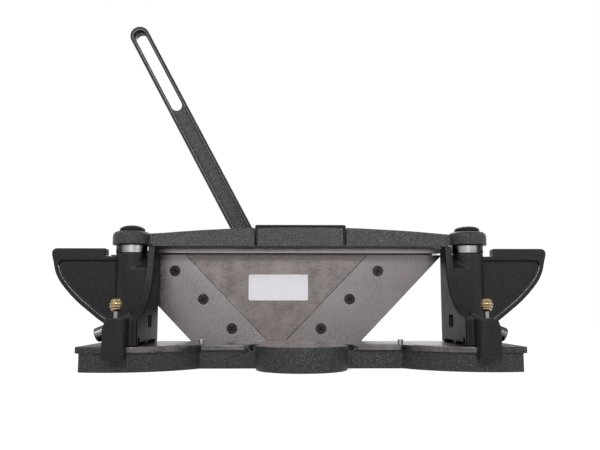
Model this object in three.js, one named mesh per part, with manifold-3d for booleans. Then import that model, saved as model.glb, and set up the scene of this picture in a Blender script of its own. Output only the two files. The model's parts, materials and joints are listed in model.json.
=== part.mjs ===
import * as THREE from "three";
import { mergeVertices } from "three/addons/utils/BufferGeometryUtils.js";
import Module from "manifold-3d";

// A mitre trimmer for picture frames: two upright knives slide sideways behind a table.
// Lengths are in millimetres. X runs to the right, Y to the rear and Z up.
// Z is zero under the base, X is zero midway between the posts, and Y is zero at the cut,
// where the rear edge of the table meets the front faces of the knives.

const { degToRad, lerp } = THREE.MathUtils;
const wasm = await Module();
wasm.setup();

// Gaps and steps that all the pieces share
const seatGap = 0.3;
const slideGap = 0.4;
const overrun = 2;
const weldDistance = 0.0001;
const roundSides = 32;
const smallSides = 16;
const tinySides = 12;
const bushSides = 24;
const quarterSteps = 4;

// Base casting, with its distances measured forward from the cut
const base = {
  height: 24.4,
  rimDepth: 6.3,
  wallInset: 3,
  halfWidth: 218,
  postInset: 30,
  frontReach: 103.2,
  innerFront: 86,
  innerCorner: 61,
  innerRadius: 11,
  drumRadius: 46,
  drumAhead: 97,
  skin: 9,
  pocketInner: 24,
  pocketOuter: 164,
  pocketFront: 74,
  pocketRear: 8,
};

// Low shelf behind the cut, and the pedestal behind the lever
const shelf = { height: 12, halfLength: 182, depth: 24 };
const pedestal = { halfWidth: 42, floor: 7, thickness: 16, headRadius: 17 };

// Posts, and what stacks up on them
const post = { aside: base.halfWidth - base.postInset, ahead: 29, radius: 10, socketDepth: 20, grip: 10 };
const collar = { radius: 17.2, height: 8.7 };
const dome = { radius: 14, height: 7, edge: 1.6, shankRadius: 5, shankLength: 20 };
const domeRecess = { radius: 3.4, depth: 2 };

// Lower way, and the screws that hold it
const way = { halfLength: 172, front: 6, depth: 15, thickness: 7.7, grooveDepth: 4.5 };
const wayScrew = { inset: 5, radius: 1.8, headRadius: 2.4, headHeight: 2, length: 9 };

// Knives and the slab that carries them
const knife = { thickness: 8, height: 102.6, reach: 192.6, width: 87, lean: 43.9, bevel: 8 };
const slab = { thickness: 10, inset: 9, tongueWidth: 4.4, plateStep: 0.8 };
const knifeScrew = { headRadius: 6.1, radius: 3, countersink: 3.2, length: 14 };
const knifeScrewShares = [
  [0.344, 0.818],
  [0.324, 0.5],
  [0.313, 0.172],
];
const label = { width: 68.5, height: 29.8, thickness: 0.4, centre: 2, bottom: 49.2 };

// Bridge, the rail under it and the cover on it
const rail = { clearance: 2, thickness: 6, halfLength: 164, depth: 20, grooveDepth: 4 };
const bridge = {
  endInset: 12,
  shoulderInset: 11,
  front: 35,
  beamDepth: 27,
  beamDrop: 1.8,
  middleHeight: 20.2,
  endHeight: 11.2,
  flangeHeight: 9,
  bossRadius: 21.2,
  bossHeight: 15,
  bossSoftness: 5.5,
};
const cover = { halfWidth: 50.8, thickness: 2.4, lipDepth: 20, rear: 8, fold: 2.2, lipTip: 1 };
const railScrew = { inset: 5, behind: 5.6, radius: 2.2, headRadius: 3.8, headHeight: 3, length: 13 };

// Small stops that stand in the table
const tablePin = { aside: 105, ahead: 64, radius: 2.9, standing: 4.6, depth: 6.4 };
const tableLine = { length: 30, width: 1.2, depth: 0.8 };

// Drive between the lever and the carriage
const drive = { travelPerRadian: 55, swing: 74, pictured: -28.1 };
const roller = { radius: 5.9, play: 0.6 };
const drivePin = { radius: 3, headRadius: 8, headHeight: 2.6, seat: 7, bossRadius: 9 };

// Lever, from its pivot upward
const lever = {
  pivotHeight: 26,
  front: 25,
  depth: 22,
  length: 433,
  width: 24,
  headDepth: 10,
  headStep: 2,
  bossRadius: 16,
  slotWall: 5.2,
  shoulder: 12,
  recessWidth: 16.8,
  recessDepth: 7.5,
  recessStart: 122,
  recessEnd: 429.3,
  loopStart: 316,
  loopEnd: 427.6,
  loopWidth: 13.4,
};
const pivotBolt = { radius: 6, headRadius: 10, headHeight: 3.4, washerRadius: 13, washer: 2 };
const pivotNut = { radius: 10, height: 8 };
const pivotBush = { wall: 2 };

// Fence, measured from the axis of its post
const fence = {
  face: 28.6,
  wall: 8.2,
  rear: 12.3,
  barrelRadius: 17,
  barrelHeight: 97,
  plateHeight: 104.2,
  shoulder: 2,
  sweepStart: 12,
  sweepEnd: 87,
  armHeight: 29.3,
  footEnd: 116,
  footDepth: 33,
  footInner: 20.8,
  footOuter: 0.2,
  footHeight: 27,
  footChamfer: 3,
  footChamferDrop: 9,
  footCorner: 5,
  hookDepth: 11.5,
  hookDrop: 12.4,
};
const fenceSweepShares = [
  [0, 1],
  [0.08, 0.685],
  [0.213, 0.411],
  [0.48, 0.164],
  [0.827, 0.027],
  [1, 0],
];
const wing = { span: 89, front: 0, rear: 15, top: 128, height: 92, cornerRadius: 5 };
const wingEdgeShares = [
  [1, 0.92],
  [0.981, 0.857],
  [0.949, 0.721],
  [0.887, 0.598],
  [0.774, 0.463],
  [0.647, 0.34],
  [0.523, 0.241],
  [0.377, 0.13],
  [0.172, 0],
];
const wingPanel = { topRim: 13.6, edgeRim: 5, innerEdge: 17, depth: 3, corner: 4 };
const wingNotch = { to: 29, floor: 119.3 };
const armWindow = { centre: 35, length: 17, bottom: 42, height: 12 };
const armRelief = { height: 2.6, starts: [4, 54], length: 40 };
const armNotch = { centre: 88, width: 6, height: 7 };
const fenceBush = { radius: 12.6, length: 20, step: 1.6 };

// Index pin of a fence, with its knob and spring
const indexPin = {
  aside: -8,
  ahead: 97,
  radius: 2,
  tipDepth: 1.8,
  collarRadius: 3.1,
  collarHeight: 1.5,
  collarLift: 6,
  roof: 4,
};
const indexBore = { radius: 3.7, play: 0.35 };
const indexTrack = { width: 4.8, depth: 2.6, margin: 1.6, holeDepth: 9 };
const pullKnob = { radius: 6.4, height: 12, rise: 6.6, grooves: 3, grooveDepth: 0.4, roundShare: 0.75 };
const spring = { wire: 0.5, radius: 2.85, turns: 4.5, wireSides: 5, turnSteps: 8 };
const fenceSwing = 45;

// Lock screw of a fence, tilted outward and down
const lock = { tilt: 22, ahead: 71, height: 14, seat: 26.4, lugBack: 4 };
const lockScrew = { radius: 4, bite: 14, play: 0.4 };
const lockKnob = { radius: 7.2, length: 16, neck: 2.5, neckRadius: 5, knurls: 14, knurlDepth: 0.7 };

// Heights and depths that follow from the sizes above
const wayTop = shelf.height + seatGap + way.thickness;
const knifeBottom = wayTop + slideGap;
const knifeTop = knifeBottom + knife.height;
const railBottom = knifeTop + rail.clearance;
const bridgeSeat = railBottom + rail.thickness + seatGap;
const fenceBottom = base.height + seatGap;
const barrelTop = fenceBottom + fence.barrelHeight;
const collarBottom = barrelTop + seatGap;
const bridgeEnd = bridgeSeat + bridge.bossHeight;
const knifeFront = seatGap;
const slabFront = knifeFront + knife.thickness + seatGap;
const slabRear = slabFront + slab.thickness;
const tongueFront = slabFront + (slab.thickness - slab.tongueWidth) / 2;
const leverRear = lever.front + lever.depth;
const leverMiddle = (lever.front + leverRear) / 2;
const headFront = lever.front + lever.headStep;
const headRear = headFront + lever.headDepth;
const rollerHeight = lever.pivotHeight + drive.travelPerRadian;
const rollerSlot = roller.radius + roller.play;
const swing = degToRad(drive.swing);
const carriageShift = drive.travelPerRadian * degToRad(drive.pictured);
const postTop = bridgeEnd - post.grip / 2;

// Finishes
const hammered = { color: 0x2b2b2c, roughness: 0.55, metalness: 0.2 };
const satinBlack = { color: 0x1d1d1e, roughness: 0.5, metalness: 0.2 };
const groundSteel = { color: 0x8f8d8c, roughness: 0.35, metalness: 0.9 };
const machinedSteel = { color: 0xa5a3a0, roughness: 0.3, metalness: 0.95 };
const blackOxide = { color: 0x19191a, roughness: 0.45, metalness: 0.6 };
const brass = { color: 0xaa915f, roughness: 0.35, metalness: 0.9 };
const bronze = { color: 0x8c6a3c, roughness: 0.45, metalness: 0.85 };
const springSteel = { color: 0x70706f, roughness: 0.4, metalness: 0.9 };
const plainWhite = { color: 0xe4e4ea, roughness: 0.5, metalness: 0 };

// A closed geometry as a body that can be joined and cut
function solid(shape) {
  if (!shape.isBufferGeometry) return shape;
  const bare = new THREE.BufferGeometry();
  bare.setAttribute("position", shape.getAttribute("position"));
  if (shape.index) bare.setIndex(shape.index);
  const merged = mergeVertices(bare, weldDistance);
  const numProp = merged.attributes.position.itemSize;
  const vertProperties = merged.attributes.position.array;
  const triVerts = new Uint32Array(merged.index.array);
  const made = new wasm.Manifold(new wasm.Mesh({ numProp, vertProperties, triVerts }));
  if (made.volume() > 0) return made;
  triVerts.reverse();
  return new wasm.Manifold(new wasm.Mesh({ numProp, vertProperties, triVerts }));
}

function geometryOf(body) {
  const { vertProperties, triVerts, numProp } = body.getMesh();
  const geometry = new THREE.BufferGeometry();
  geometry.setAttribute("position", new THREE.BufferAttribute(vertProperties, numProp));
  geometry.setIndex(new THREE.BufferAttribute(triVerts, 1));
  return geometry;
}

const join = (...shapes) => shapes.map(solid).reduce((sum, next) => sum.add(next));
const cut = (shape, ...cutters) =>
  cutters.map(solid).reduce((rest, next) => rest.subtract(next), solid(shape));
const common = (first, second) => solid(first).intersect(solid(second));
const mirrored = (body) => solid(geometryOf(body).scale(-1, 1, 1));

// One finished piece: a named mesh with its own material
function piece(name, shape, look) {
  const geometry = geometryOf(solid(shape));
  geometry.computeVertexNormals();
  const mesh = new THREE.Mesh(geometry, new THREE.MeshStandardMaterial(look));
  mesh.name = name;
  return mesh;
}

function group(position, rotationY, ...children) {
  const made = new THREE.Group();
  made.position.set(...position);
  made.rotation.y = rotationY;
  if (children.length) made.add(...children);
  return made;
}

const directions = {
  x: new THREE.Vector3(1, 0, 0),
  y: new THREE.Vector3(0, 1, 0),
  z: new THREE.Vector3(0, 0, 1),
};
const turnTo = {
  xy: new THREE.Matrix4(),
  xz: new THREE.Matrix4().makeBasis(directions.x, directions.z, directions.y.clone().negate()),
  yz: new THREE.Matrix4().makeBasis(directions.y, directions.z, directions.x),
};

// An outline drawn in a plane, drawn out between two distances along the third axis
function prism(plane, outline, low, high) {
  const shape = new THREE.Shape(outline.map(([a, b]) => new THREE.Vector2(a, b)));
  const geometry = new THREE.ExtrudeGeometry(shape, { depth: high - low, bevelEnabled: false });
  geometry.translate(0, 0, plane === "xz" ? -high : low);
  return geometry.applyMatrix4(turnTo[plane]);
}

function block([x0, x1], [y0, y1], [z0, z1]) {
  const geometry = new THREE.BoxGeometry(x1 - x0, y1 - y0, z1 - z0);
  return geometry.translate((x0 + x1) / 2, (y0 + y1) / 2, (z0 + z1) / 2);
}

// A rod or cone along one axis, centred on a point of the other two
function rod(axis, radius, low, high, [a, b], sides = roundSides, endRadius = radius) {
  const geometry = new THREE.CylinderGeometry(endRadius, radius, high - low, sides);
  const middle = (low + high) / 2;
  if (axis === "x") return geometry.rotateZ(-Math.PI / 2).translate(middle, a, b);
  if (axis === "z") return geometry.rotateX(Math.PI / 2).translate(a, b, middle);
  return geometry.translate(a, middle, b);
}

// A profile of radius and height, turned about the vertical
function turned(profile, sides = roundSides) {
  const points = profile.map(([r, z]) => new THREE.Vector2(r, z));
  return new THREE.LatheGeometry(points, sides).rotateX(Math.PI / 2);
}

function arc(a, b, radius, from, to, steps) {
  return Array.from({ length: steps + 1 }, (_, i) => {
    const angle = degToRad(lerp(from, to, i / steps));
    return [a + radius * Math.cos(angle), b + radius * Math.sin(angle)];
  });
}

// A smooth line through points that are given as shares of a run and a rise
function sweep(shares, [a0, a1], [b0, b1], steps) {
  const through = shares.map(([a, b]) => new THREE.Vector2(lerp(a0, a1, a), lerp(b0, b1, b)));
  return new THREE.SplineCurve(through).getPoints(steps).map((p) => [p.x, p.y]);
}

const flipA = (points) => points.map(([a, b]) => [-a, b]).reverse();
const slotOutline = (width, length, a, b) => [
  ...arc(a, b + (length - width) / 2, width / 2, 0, 180, quarterSteps * 2),
  ...arc(a, b - (length - width) / 2, width / 2, 180, 360, quarterSteps * 2),
];

// Base casting: a rim on a set-back wall, with arcs about the posts that the fences clear
function baseOutline(inset, openCorner) {
  const reach = base.frontReach - inset;
  const side = base.halfWidth - inset;
  const inner = base.innerFront - inset;
  const first = THREE.MathUtils.radToDeg(Math.asin((side - post.aside) / reach));
  const last = THREE.MathUtils.radToDeg(Math.acos((inner - post.ahead) / reach));
  const cornerCentre = base.innerRadius - inner;
  const corner = arc(base.innerCorner, cornerCentre, base.innerRadius, -90, -180, quarterSteps);
  const right = [
    [side, 0],
    ...arc(post.aside, -post.ahead, reach, first - 90, -90 - last, 12),
    ...(openCorner ? corner : []),
  ];
  return [...right, ...flipA(right)];
}

function indexAngle() {
  return THREE.MathUtils.radToDeg(Math.atan2(-indexPin.aside, indexPin.ahead));
}

function indexTrackCutters() {
  const radius = Math.hypot(indexPin.aside, indexPin.ahead);
  const half = indexTrack.width / 2;
  const from = -90 - indexAngle() + indexTrack.margin;
  const to = -90 - indexAngle() - fenceSwing - indexTrack.margin;
  const outline = [
    ...arc(post.aside, -post.ahead, radius + half, from, to, 8),
    ...arc(post.aside, -post.ahead, radius - half, to, from, 8),
  ];
  const track = prism("xy", outline, base.height - indexTrack.depth, base.height + overrun);
  const holes = [0, fenceSwing / 2, fenceSwing].map((turn) => {
    const [[x, y]] = arc(post.aside, -post.ahead, radius, -90 - indexAngle() - turn, 0, 1);
    const bottom = base.height - indexTrack.holeDepth;
    return rod("z", half, bottom, base.height + overrun, [x, y], smallSides);
  });
  return [track, ...holes];
}

function sideCutters() {
  const line = tableLine.length / 2;
  const screwX = way.halfLength - wayScrew.inset;
  const screwY = tongueFront + slab.tongueWidth / 2;
  const screwBottom = wayTop - way.grooveDepth - wayScrew.length;
  return [
    ...indexTrackCutters(),
    rod(
      "z",
      post.radius + seatGap,
      base.height - post.socketDepth,
      base.height + overrun,
      [post.aside, -post.ahead],
    ),
    rod(
      "z",
      tablePin.radius + seatGap,
      base.height - tablePin.depth - seatGap,
      base.height + overrun,
      [tablePin.aside, -tablePin.ahead],
      smallSides,
    ),
    block(
      [tablePin.aside - line, tablePin.aside + line],
      [-tablePin.ahead - tableLine.width / 2, -tablePin.ahead + tableLine.width / 2],
      [base.height - tableLine.depth, base.height + overrun],
    ),
    block(
      [base.pocketInner, base.pocketOuter],
      [-base.pocketFront, -base.pocketRear],
      [-overrun, base.height - base.skin],
    ),
    rod(
      "z",
      wayScrew.radius + seatGap,
      screwBottom - seatGap,
      shelf.height + overrun,
      [screwX, screwY],
      tinySides,
    ),
  ];
}

function baseCasting() {
  const pedestalFront = leverRear + slideGap;
  const pedestalRear = pedestalFront + pedestal.thickness;
  const pedestalOutline = [
    [-pedestal.halfWidth, 0],
    [pedestal.halfWidth, 0],
    ...arc(0, lever.pivotHeight, pedestal.headRadius, 20, 160, quarterSteps * 3),
  ];
  const wallTop = base.height - base.rimDepth;
  const body = join(
    prism("xy", baseOutline(0, true), wallTop, base.height),
    prism("xy", baseOutline(base.wallInset, false), 0, wallTop),
    rod("z", base.drumRadius, 0, base.height, [0, -base.drumAhead], roundSides * 2),
    block([-shelf.halfLength, shelf.halfLength], [-overrun, shelf.depth], [0, shelf.height]),
    block(
      [-pedestal.halfWidth, pedestal.halfWidth],
      [shelf.depth - overrun, pedestalRear],
      [0, pedestal.floor],
    ),
    prism("xz", pedestalOutline, pedestalFront, pedestalRear),
  );
  const right = sideCutters().map(solid);
  const pivotBore = rod(
    "y",
    pivotBolt.radius + seatGap,
    pedestalFront - overrun,
    pedestalRear + overrun,
    [0, lever.pivotHeight],
    smallSides,
  );
  return cut(body, ...right, ...right.map(mirrored), pivotBore);
}

function lowerWay() {
  const rear = way.front + way.depth;
  const grooveFront = tongueFront - seatGap;
  const grooveRear = tongueFront + slab.tongueWidth + seatGap;
  const grooveFloor = wayTop - way.grooveDepth;
  const screwX = way.halfLength - wayScrew.inset;
  const hole = rod(
    "z",
    wayScrew.radius + seatGap,
    shelf.height,
    wayTop,
    [screwX, (grooveFront + grooveRear) / 2],
    tinySides,
  );
  return cut(
    block([-way.halfLength, way.halfLength], [way.front, rear], [shelf.height + seatGap, wayTop]),
    block(
      [-way.halfLength - overrun, way.halfLength + overrun],
      [grooveFront, grooveRear],
      [grooveFloor, wayTop + overrun],
    ),
    hole,
    mirrored(solid(hole)),
  );
}

function wayScrewBody() {
  const floor = wayTop - way.grooveDepth;
  const at = [way.halfLength - wayScrew.inset, tongueFront + slab.tongueWidth / 2];
  return join(
    rod("z", wayScrew.radius, floor - wayScrew.length, floor + wayScrew.headHeight, at, tinySides),
    rod(
      "z",
      wayScrew.headRadius - seatGap,
      floor + seatGap,
      floor + seatGap + wayScrew.headHeight,
      at,
      tinySides,
    ),
  );
}

// Posts and the parts that stack on them
function postBody() {
  const bottom = base.height - post.socketDepth + seatGap;
  const at = [0, 0];
  return cut(
    rod("z", post.radius, bottom, postTop, at),
    rod(
      "z",
      dome.shankRadius + seatGap,
      bridgeEnd - dome.shankLength - seatGap,
      bridgeEnd,
      at,
      smallSides,
    ),
  );
}

function collarBody() {
  return cut(
    rod("z", collar.radius, collarBottom, collarBottom + collar.height, [0, 0]),
    rod(
      "z",
      post.radius + seatGap,
      collarBottom - overrun,
      collarBottom + collar.height + overrun,
      [0, 0],
    ),
  );
}

function domeBolt() {
  const bottom = bridgeEnd + seatGap;
  const crown = new THREE.EllipseCurve(0, bottom + dome.edge, dome.radius, dome.height - dome.edge);
  const quarter = crown.getPoints(quarterSteps * 6).slice(0, quarterSteps + 3);
  const rim = quarter.map((p) => [p.x, p.y]);
  const profile = [
    [0, bottom - dome.shankLength],
    [dome.shankRadius, bottom - dome.shankLength],
    [dome.shankRadius, bottom],
    [dome.radius, bottom],
    ...rim.slice(0, -1),
    [0, bottom + dome.height],
  ];
  return cut(
    turned(profile, bushSides),
    rod(
      "z",
      domeRecess.radius,
      bottom + dome.height - domeRecess.depth,
      bottom + dome.height + overrun,
      [0, 0],
      6,
    ),
  );
}

// Bridge: a cambered beam with a flange behind it and a boss at each end
function bridgeBoss() {
  const soft = bridge.bossSoftness;
  return turned([
    [0, bridgeSeat],
    [bridge.bossRadius, bridgeSeat],
    ...arc(bridge.bossRadius - soft, bridgeEnd - soft, soft, 0, 90, quarterSteps),
    [0, bridgeEnd],
  ]);
}

function bridgeCasting() {
  const camber = bridge.middleHeight - bridge.endHeight;
  const beamBottom = bridgeSeat - bridge.beamDrop;
  const halfSpan = post.aside - bridge.endInset;
  const shoulder = halfSpan - bridge.shoulderInset;
  const radius = (halfSpan ** 2 + camber ** 2) / (2 * camber);
  const halfAngle = THREE.MathUtils.radToDeg(Math.asin(halfSpan / radius));
  const top = bridgeSeat + bridge.middleHeight;
  const outline = [
    [-halfSpan, bridgeSeat],
    [-shoulder, bridgeSeat],
    [-shoulder, beamBottom],
    [shoulder, beamBottom],
    [shoulder, bridgeSeat],
    [halfSpan, bridgeSeat],
    ...arc(0, top - radius, radius, 90 - halfAngle, 90 + halfAngle, 16),
  ];
  const ends = [-1, 1].map((side) =>
    bridgeBoss().translate(side * post.aside, -post.ahead, 0),
  );
  const flangeRear = lever.front - slideGap - overrun;
  const body = join(
    prism("xz", outline, -bridge.front, bridge.beamDepth - bridge.front),
    block(
      [-rail.halfLength, rail.halfLength],
      [bridge.beamDepth - bridge.front - overrun, flangeRear],
      [bridgeSeat, bridgeSeat + bridge.flangeHeight],
    ),
    ...ends,
  );
  const grooveOuter = cover.halfWidth + seatGap;
  const grooveInner = cover.halfWidth - cover.thickness - seatGap;
  const lipBottom = top - cover.lipDepth;
  const right = [
    rod(
      "z",
      post.radius + seatGap,
      bridgeSeat - overrun,
      postTop + seatGap,
      [post.aside, -post.ahead],
    ),
    rod(
      "z",
      dome.shankRadius + seatGap,
      bridgeSeat,
      bridgeEnd + overrun,
      [post.aside, -post.ahead],
      smallSides,
    ),
    block(
      [grooveInner, grooveOuter],
      [-bridge.front - overrun, bridge.beamDepth],
      [lipBottom - seatGap, top + overrun],
    ),
    rod(
      "z",
      railScrew.radius + seatGap,
      bridgeSeat - overrun,
      railBottom + railScrew.length + seatGap,
      [rail.halfLength - railScrew.inset, railScrew.behind],
      tinySides,
    ),
  ].map(solid);
  return cut(body, ...right, ...right.map(mirrored));
}

function bridgeCover() {
  const top = bridgeSeat + bridge.middleHeight;
  const inner = cover.halfWidth - cover.thickness;
  const half = [
    [inner, top + seatGap],
    [inner, top - cover.lipDepth],
    [inner + cover.lipTip, top - cover.lipDepth],
    ...arc(cover.halfWidth - cover.fold, top + cover.thickness - cover.fold, cover.fold, 0, 90, quarterSteps),
  ];
  const outline = [...half, ...flipA(half)];
  return prism("xz", outline, -bridge.front, cover.rear - bridge.front + bridge.beamDepth - overrun);
}

function upperRail() {
  const grooveFront = tongueFront - seatGap;
  const grooveRear = tongueFront + slab.tongueWidth + seatGap;
  const hole = rod(
    "z",
    railScrew.radius + seatGap,
    railBottom - overrun,
    bridgeSeat + overrun,
    [rail.halfLength - railScrew.inset, railScrew.behind],
    tinySides,
  );
  const sinkTop = railBottom + railScrew.headHeight + seatGap;
  const sink = rod(
    "z",
    railScrew.headRadius + seatGap,
    railBottom - overrun,
    sinkTop,
    [rail.halfLength - railScrew.inset, railScrew.behind],
    smallSides,
  );
  return cut(
    block(
      [-rail.halfLength, rail.halfLength],
      [0, rail.depth],
      [railBottom, railBottom + rail.thickness],
    ),
    block(
      [-rail.halfLength - overrun, rail.halfLength + overrun],
      [grooveFront, grooveRear],
      [railBottom - overrun, railBottom + rail.grooveDepth],
    ),
    hole,
    sink,
    mirrored(solid(hole)),
    mirrored(solid(sink)),
  );
}

function railScrewBody() {
  const at = [rail.halfLength - railScrew.inset, railScrew.behind];
  const headTop = railBottom + railScrew.headHeight;
  return join(
    rod("z", railScrew.headRadius, railBottom, headTop, at, smallSides),
    rod("z", railScrew.radius, headTop - overrun, railBottom + railScrew.length, at, tinySides),
  );
}

function tablePinBody() {
  const bottom = base.height - tablePin.depth;
  return rod("z", tablePin.radius, bottom, base.height + tablePin.standing, [0, 0], smallSides);
}

// Carriage, drawn about its own middle
const outerEdge = (z) => knife.reach - (knifeTop - z) * Math.tan(degToRad(knife.lean));
const innerEdge = (z) => outerEdge(z) - knife.width;
const screwPlaces = knifeScrewShares.map(([across, up]) => {
  const z = knifeBottom + up * knife.height;
  return [innerEdge(z) + across * knife.width, z];
});

function knifeBody() {
  const front = [
    [innerEdge(knifeBottom), knifeBottom],
    [outerEdge(knifeBottom), knifeBottom],
    [outerEdge(knifeTop), knifeTop],
    [innerEdge(knifeTop), knifeTop],
  ];
  const blank = prism("xz", front, knifeFront, knifeFront + knife.thickness);
  const behind = knifeFront + knife.thickness + overrun;
  const slope = (knife.bevel * (behind - knifeFront)) / knife.thickness;
  const far = outerEdge(knifeTop + overrun) + knife.width;
  const wedge = [
    [0, knifeFront],
    [far, knifeFront],
    [far, behind],
    [-slope, behind],
  ];
  const lean = degToRad(knife.lean);
  const along = knife.height / Math.cos(lean) + knife.width;
  const bevel = prism("xy", wedge, -along, along)
    .rotateY(lean)
    .translate(outerEdge(knifeBottom), 0, knifeBottom);
  const holes = screwPlaces.flatMap((at) => {
    const head = knifeScrew.headRadius + seatGap;
    const shank = knifeScrew.radius + seatGap;
    const depth = knifeFront + knifeScrew.countersink;
    return [
      rod("y", shank, knifeFront - overrun, behind, at, tinySides),
      rod("y", head, knifeFront, depth, at, smallSides, shank),
      rod("y", head, knifeFront - overrun, knifeFront, at, smallSides),
    ];
  });
  return cut(blank, bevel, ...holes);
}

function knifeScrewBody() {
  const bottom = knifeFront + knifeScrew.length;
  const depth = knifeFront + knifeScrew.countersink;
  return join(
    rod("y", knifeScrew.headRadius, knifeFront, depth, [0, 0], smallSides, knifeScrew.radius),
    rod("y", knifeScrew.radius, knifeFront + overrun, bottom, [0, 0], tinySides),
  );
}

function carriagePlate() {
  const low = outerEdge(knifeBottom) - slab.inset;
  const high = outerEdge(knifeTop) - slab.inset;
  const slabOutline = [
    [-low, knifeBottom],
    [low, knifeBottom],
    [high, knifeTop],
    [-high, knifeTop],
  ];
  const plateLow = innerEdge(knifeBottom) - seatGap;
  const plateHigh = innerEdge(knifeTop) - seatGap;
  const plateOutline = [
    [-plateLow, knifeBottom],
    [plateLow, knifeBottom],
    [plateHigh, knifeTop],
    [-plateHigh, knifeTop],
  ];
  const tongueRear = tongueFront + slab.tongueWidth;
  const tongueDrop = way.grooveDepth - slideGap;
  const tongueRise = rail.clearance + rail.grooveDepth - slideGap;
  const boss = headFront - seatGap;
  const holes = screwPlaces.map((at) =>
    solid(
      rod(
        "y",
        knifeScrew.radius + seatGap,
        slabFront - overrun,
        knifeFront + knifeScrew.length + seatGap,
        at,
        tinySides,
      ),
    ),
  );
  const seat = rod(
    "y",
    drivePin.radius + seatGap,
    slabRear - drivePin.seat - seatGap,
    boss + overrun,
    [0, rollerHeight],
    tinySides,
  );
  const body = join(
    prism("xz", slabOutline, slabFront, slabRear),
    prism("xz", plateOutline, knifeFront + slab.plateStep, slabFront + overrun),
    block([-low, low], [tongueFront, tongueRear], [knifeBottom - tongueDrop, knifeTop]),
    block([-high, high], [tongueFront, tongueRear], [knifeTop - overrun, knifeTop + tongueRise]),
    rod("y", drivePin.bossRadius, slabRear - overrun, boss, [0, rollerHeight], smallSides),
  );
  return cut(body, ...holes, ...holes.map(mirrored), seat);
}

function labelPlate() {
  const rear = knifeFront + slab.plateStep - seatGap;
  const bottom = knifeBottom + label.bottom + slab.plateStep;
  return block(
    [label.centre - label.width / 2, label.centre + label.width / 2],
    [rear - label.thickness, rear],
    [bottom, bottom + label.height],
  );
}

function drivePinBody() {
  const rear = headRear + seatGap;
  const at = [0, rollerHeight];
  return join(
    rod("y", drivePin.radius, slabRear - drivePin.seat, rear + overrun, at, tinySides),
    rod("y", drivePin.headRadius, rear, rear + drivePin.headHeight, at, smallSides),
  );
}

function rollerBody() {
  return cut(
    rod("y", roller.radius, headFront, headRear, [0, 0], roundSides),
    rod("y", drivePin.radius + seatGap, headFront - overrun, headRear + overrun, [0, 0], tinySides),
  );
}

// Lever, drawn upright from its pivot, with its depth centred on zero
const involute = (angle) => {
  const turn = Math.abs(angle);
  const side = Math.sign(angle) || 1;
  const up = drive.travelPerRadian * (turn * Math.sin(turn) + Math.cos(turn));
  const across = drive.travelPerRadian * (turn * Math.cos(turn) - Math.sin(turn));
  return [side * across, up];
};

// One arm of the slot in which the roller runs; its width is even along the involute
function slotArm() {
  const first = rollerSlot / drive.travelPerRadian;
  const angles = Array.from({ length: 13 }, (_, i) => lerp(first, swing, i / 12));
  const edge = (angle, offset) => {
    const [across, up] = involute(angle);
    return [across + offset * Math.cos(angle), up + offset * Math.sin(angle)];
  };
  const [endA, endB] = involute(swing);
  const [startA, startB] = involute(first);
  const endTurn = drive.swing;
  const startTurn = THREE.MathUtils.radToDeg(first);
  return [
    ...angles.map((angle) => edge(angle, rollerSlot)),
    ...arc(endA, endB, rollerSlot, endTurn, endTurn + 180, 8).slice(1, -1),
    ...angles.map((angle) => edge(angle, -rollerSlot)).reverse(),
    ...arc(startA, startB, rollerSlot, startTurn + 180, startTurn + 360, 8).slice(1, -1),
  ];
}

function leverCasting() {
  const half = lever.width / 2;
  const wall = rollerSlot + lever.slotWall;
  const [across, up] = involute(swing);
  const lobe = [
    ...arc(0, 0, lever.bossRadius, -90, 20, quarterSteps * 2),
    ...arc(-across, up, wall, -35, 95, quarterSteps * 2),
    [half, up + wall + lever.shoulder],
  ];
  const head = [...lobe, ...flipA(lobe).slice(0, -1)];
  const front = lever.front - leverMiddle;
  const rear = leverRear - leverMiddle;
  const armStart = up + wall;
  const armOutline = [
    [half, armStart],
    ...arc(0, lever.length - half, half, 0, 180, quarterSteps * 3),
    [-half, armStart],
  ];
  const recessLength = lever.recessEnd - lever.recessStart;
  const recessMiddle = (lever.recessEnd + lever.recessStart) / 2;
  const recess = slotOutline(lever.recessWidth, recessLength, 0, recessMiddle);
  const loopLength = lever.loopEnd - lever.loopStart;
  const loop = slotOutline(lever.loopWidth, loopLength, 0, (lever.loopEnd + lever.loopStart) / 2);
  const slot = solid(prism("xz", slotArm(), front - overrun, rear + overrun));
  const body = join(
    prism("xz", head, headFront - leverMiddle, headRear - leverMiddle),
    rod("y", lever.bossRadius, front, rear, [0, 0]),
    prism("xz", armOutline, front, rear),
  );
  return cut(
    body,
    slot,
    mirrored(slot),
    rod("y", rollerSlot, front - overrun, rear + overrun, [0, drive.travelPerRadian], roundSides),
    prism("xz", recess, front - overrun, front + lever.recessDepth),
    prism("xz", recess, rear - lever.recessDepth, rear + overrun),
    prism("xz", loop, front - overrun, rear + overrun),
    rod("y", bushOuter + seatGap, front - overrun, rear + overrun, [0, 0]),
  );
}

const bushInner = pivotBolt.radius + seatGap;
const bushOuter = bushInner + pivotBush.wall;

function leverBush() {
  const half = lever.depth / 2;
  return cut(
    rod("y", bushOuter, -half, half, [0, 0], smallSides),
    rod("y", bushInner, -half - overrun, half + overrun, [0, 0], smallSides),
  );
}

// Pivot bolt, with its head in front of the lever and its nut behind the pedestal
const pedestalRear = leverRear + slideGap + pedestal.thickness;
const nutFront = pedestalRear + seatGap + pivotBolt.washer + seatGap;

function pivotBoltBody() {
  const head = lever.front - seatGap;
  return join(
    rod("y", pivotBolt.headRadius, head - pivotBolt.headHeight, head, [0, 0], 6),
    rod("y", pivotBolt.radius, head - overrun, nutFront + pivotNut.height + overrun, [0, 0], smallSides),
  );
}

function pivotWasher() {
  const front = pedestalRear + seatGap;
  return cut(
    rod("y", pivotBolt.washerRadius, front, front + pivotBolt.washer, [0, 0], roundSides),
    rod("y", pivotBolt.radius + seatGap, front - overrun, nutFront + overrun, [0, 0], smallSides),
  );
}

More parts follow.
